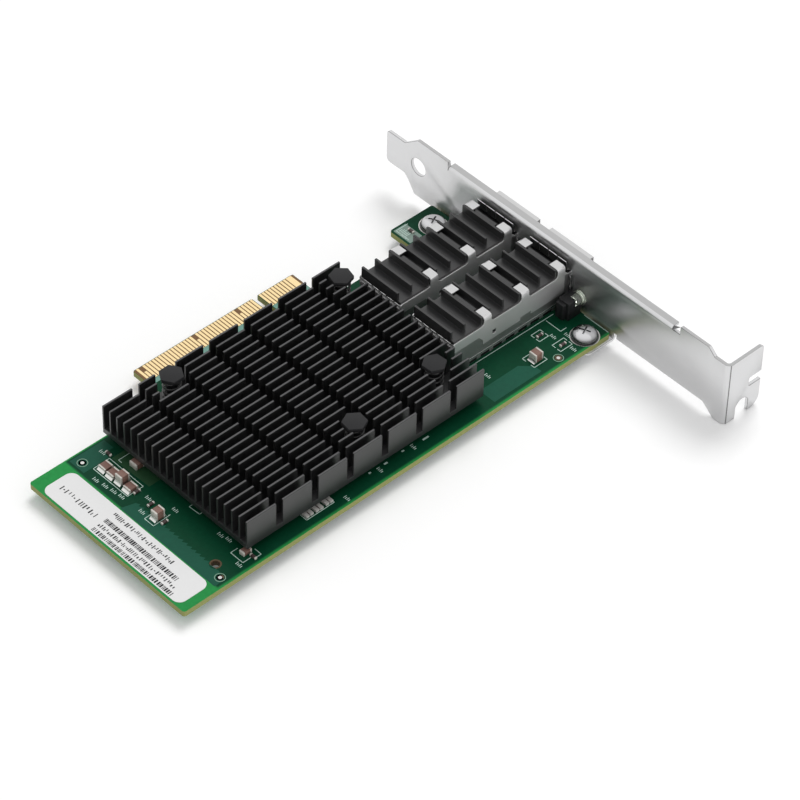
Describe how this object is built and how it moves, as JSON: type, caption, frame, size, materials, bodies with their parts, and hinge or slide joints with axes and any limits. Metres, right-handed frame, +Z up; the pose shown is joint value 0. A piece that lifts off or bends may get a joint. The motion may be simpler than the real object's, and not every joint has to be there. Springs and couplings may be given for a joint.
{
  "type": "network interface card",
  "caption": "Plug-in network card: low-profile board under a finned heat sink, optical module cages with small clipped sinks, and a full-height slot bracket.",
  "frame": {"origin": "centre of the bounding box's foot; the foot is the low end of the bracket's slotted tab, with the board lying level above it", "axes": "+X along the board from its free end to the bracket and out of the ports, +Y across the board towards the edge connector, +Z up from the component face"},
  "size_m": [0.152, 0.12, 0.0216],
  "materials": {
    "board": "solder-masked glass laminate, satin green",
    "gold": "gold plated, bright",
    "label": "white film, matt",
    "package": "green-black laminate",
    "nickel": "nickel-plated lid, satin",
    "pad": "soft grey pad",
    "black_anodised": "black anodised, fine satin",
    "pin_plastic": "black moulded nylon, satin",
    "spring_steel": "spring wire, bright",
    "plated_sheet": "nickel-plated sheet, bright satin",
    "socket_plastic": "black moulding, matt",
    "bracket_steel": "nickel-plated steel, satin",
    "screw_steel": "zinc plated, satin",
    "lamp_plastic": "black moulding, matt",
    "lens": "clear moulding, polished",
    "tin": "tinned, bright",
    "ceramic_brown": "fired ceramic, satin",
    "ceramic_dark": "fired ceramic, satin",
    "chip_black": "glazed black, satin",
    "chip_mould": "moulded epoxy, matt",
    "ferrite": "pressed ferrite, matt"
  },
  "bodies": {
    "root": {"circuit_board": "board", "edge_contacts_top": "gold", "edge_contacts_bottom": "gold", "board_label": "label", "controller_substrate": "package", "controller_lid": "nickel", "thermal_pad": "pad", "main_heat_sink": "black_anodised", "cage_heat_sink_1": "black_anodised", "cage_heat_sink_2": "black_anodised", "push_pins": "pin_plastic", "pin_springs": "spring_steel", "port_cage_1": "plated_sheet", "port_cage_2": "plated_sheet", "shield_collar_1": "plated_sheet", "shield_collar_2": "plated_sheet", "sink_clip_1": "plated_sheet", "sink_clip_2": "plated_sheet", "port_socket_1": "socket_plastic", "port_socket_2": "socket_plastic", "socket_contacts_1": "gold", "socket_contacts_2": "gold", "bracket": "bracket_steel", "bracket_screws": "screw_steel", "lamp_holder": "lamp_plastic", "lamp_lens": "lens", "lamp_leads": "tin", "terminations": "tin", "capacitors_low": "ceramic_brown", "capacitors_tall": "ceramic_dark", "chip_resistors": "chip_black", "memory_chip": "chip_mould", "clock_crystal": "nickel", "power_inductors": "ferrite"}
  },
  "joints": []
}
